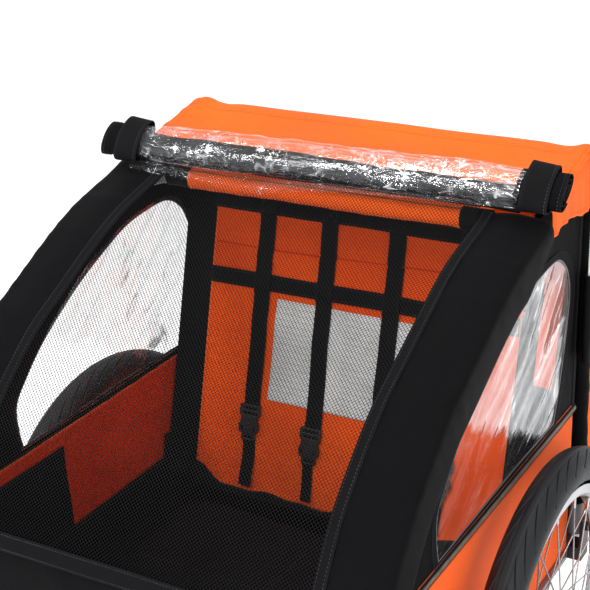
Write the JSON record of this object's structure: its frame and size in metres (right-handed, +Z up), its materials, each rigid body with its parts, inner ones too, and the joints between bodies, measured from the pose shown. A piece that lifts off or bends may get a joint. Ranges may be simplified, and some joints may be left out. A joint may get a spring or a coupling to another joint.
{
  "type": "child bicycle trailer",
  "caption": "Child bicycle trailer: tube frame with folding hoops, orange and black fabric cabin with net front and clear side windows, spoked wheels, side drawbar.",
  "frame": {"origin": "middle of the bounding box at ground level", "axes": "+Z up, +Y towards the rear of the trailer (longest extent), +X towards the trailer's left-hand side"},
  "size_m": [0.74, 1.556, 1.345],
  "materials": {
    "frame_steel": "grey powder coat",
    "plated_steel": "zinc plated",
    "black_fabric": "matte woven",
    "orange_fabric": "matte woven",
    "clear_vinyl": "clear soft vinyl",
    "white_label": "printed cloth, blank",
    "webbing": "ribbed webbing",
    "black_plastic": "moulded",
    "white_fibreglass": "smooth",
    "black_net": "open mesh",
    "tyre_rubber": "matte rubber",
    "rim_alloy": "satin"
  },
  "bodies": {
    "base_frame": {"side_rail_left": "frame_steel", "side_rail_right": "frame_steel", "cross_tube_front": "frame_steel", "cross_tube_axle": "frame_steel", "cross_tube_rear": "frame_steel", "axle_bracket_left": "plated_steel", "axle_bracket_right": "plated_steel", "hoop_bracket_left": "black_plastic", "hoop_bracket_right": "black_plastic", "nose_bracket_left": "plated_steel", "nose_bracket_right": "plated_steel", "floor_panel": "black_fabric", "seat_cushion": "black_fabric", "seat_back": "orange_fabric", "seat_strap_upper": "webbing", "seat_strap_lower": "webbing", "care_label": "white_label", "shoulder_strap_1": "webbing", "shoulder_strap_2": "webbing", "shoulder_strap_3": "webbing", "shoulder_strap_4": "webbing", "strap_buckle_1": "black_plastic", "strap_buckle_2": "black_plastic", "strap_buckle_3": "black_plastic", "strap_buckle_4": "black_plastic", "side_panel_left": "orange_fabric", "side_panel_right": "orange_fabric", "window_surround_left": "black_fabric", "window_surround_right": "black_fabric", "window_pane_left": "clear_vinyl", "window_pane_right": "clear_vinyl", "cargo_cover": "orange_fabric", "nose_panel": "black_fabric", "drawbar_clevis": "plated_steel"},
    "rear_hoop": {"rear_hoop_tube": "frame_steel", "rear_sleeve_left": "black_fabric", "rear_sleeve_right": "black_fabric"},
    "safety_flag": {"flag_pole": "white_fibreglass", "flag": "orange_fabric"},
    "front_hoop": {"front_hoop_tube": "frame_steel", "front_sleeve_left": "black_fabric", "front_sleeve_right": "black_fabric", "rolled_cover": "clear_vinyl", "roll_strap_left": "webbing", "roll_strap_right": "webbing", "roof_panel": "orange_fabric"},
    "net_door": {"net_cover": "black_net"},
    "wheel_left": {"tyre_left": "tyre_rubber", "rim_left": "rim_alloy", "hub_left": "plated_steel"},
    "wheel_right": {"tyre_right": "tyre_rubber", "rim_right": "rim_alloy", "hub_right": "plated_steel"},
    "button_left": {"axle_button_left": "black_plastic"},
    "button_right": {"axle_button_right": "black_plastic"},
    "drawbar": {"drawbar_tube": "frame_steel"},
    "hitch_joint": {"hitch_coupler": "black_plastic"},
    "hitch_bracket": {"hitch_clamp": "plated_steel"},
    "retaining_pin": {"hitch_pin": "plated_steel"}
  },
  "joints": [
    {"name": "wheel_spin_left", "type": "hinge", "parent": "base_frame", "child": "wheel_left", "pos_m": [0.333, 0.374, 0.25], "axis": [1, 0, 0], "continuous": true},
    {"name": "wheel_spin_right", "type": "hinge", "parent": "base_frame", "child": "wheel_right", "pos_m": [-0.333, 0.374, 0.25], "axis": [1, 0, 0], "continuous": true},
    {"name": "axle_release_left", "type": "slide", "parent": "wheel_left", "child": "button_left", "axis": [-1, 0, 0], "range_m": [0, 0.004], "stiffness_N_per_m": 400, "springref_m": -0.003},
    {"name": "axle_release_right", "type": "slide", "parent": "wheel_right", "child": "button_right", "axis": [1, 0, 0], "range_m": [0, 0.004], "stiffness_N_per_m": 400, "springref_m": -0.003},
    {"name": "rear_hoop_fold", "type": "hinge", "parent": "base_frame", "child": "rear_hoop", "pos_m": [0, 0.612, 0.28], "axis": [1, 0, 0], "range_deg": [0, 68], "deforming": ["seat_back", "seat_strap_upper", "seat_strap_lower", "care_label", "shoulder_strap_1", "shoulder_strap_2", "shoulder_strap_3", "shoulder_strap_4", "side_panel_left", "side_panel_right", "window_surround_left", "window_surround_right", "window_pane_left", "window_pane_right", "cargo_cover", "nose_panel", "front_sleeve_left", "front_sleeve_right", "rolled_cover", "roll_strap_left", "roll_strap_right", "roof_panel", "net_cover"]},
    {"name": "front_hoop_fold", "type": "hinge", "parent": "base_frame", "child": "front_hoop", "pos_m": [0, -0.013, 0.275], "axis": [1, 0, 0], "range_deg": [-46, 0]},
    {"name": "net_door_open", "type": "hinge", "parent": "front_hoop", "child": "net_door", "pos_m": [0, 0.381, 0.778], "axis": [1, 0, 0], "range_deg": [-75, 0]},
    {"name": "drawbar_fold", "type": "hinge", "parent": "base_frame", "child": "drawbar", "pos_m": [0.268, -0.062, 0.24], "axis": [-1, 0, 0], "range_deg": [0, 90]},
    {"name": "hitch_yaw", "type": "hinge", "parent": "drawbar", "child": "hitch_joint", "pos_m": [0.095, -0.69, 0.335], "axis": [0, 0, 1], "range_deg": [-60, 60]},
    {"name": "hitch_pitch", "type": "hinge", "parent": "hitch_joint", "child": "hitch_bracket", "pos_m": [0.095, -0.718, 0.335], "axis": [1, 0, 0], "range_deg": [-24, 24]},
    {"name": "hitch_pin_pull", "type": "slide", "parent": "hitch_bracket", "child": "retaining_pin", "axis": [1, 0, 0], "range_m": [0, 0.045]},
    {"name": "flag_pole_lift", "type": "slide", "parent": "rear_hoop", "child": "safety_flag", "axis": [0, 0, 1], "range_m": [0, 0.12]}
  ],
  "couplings": [
    {"joint": "front_hoop_fold", "follows": "rear_hoop_fold", "ratio": -0.67647}
  ]
}
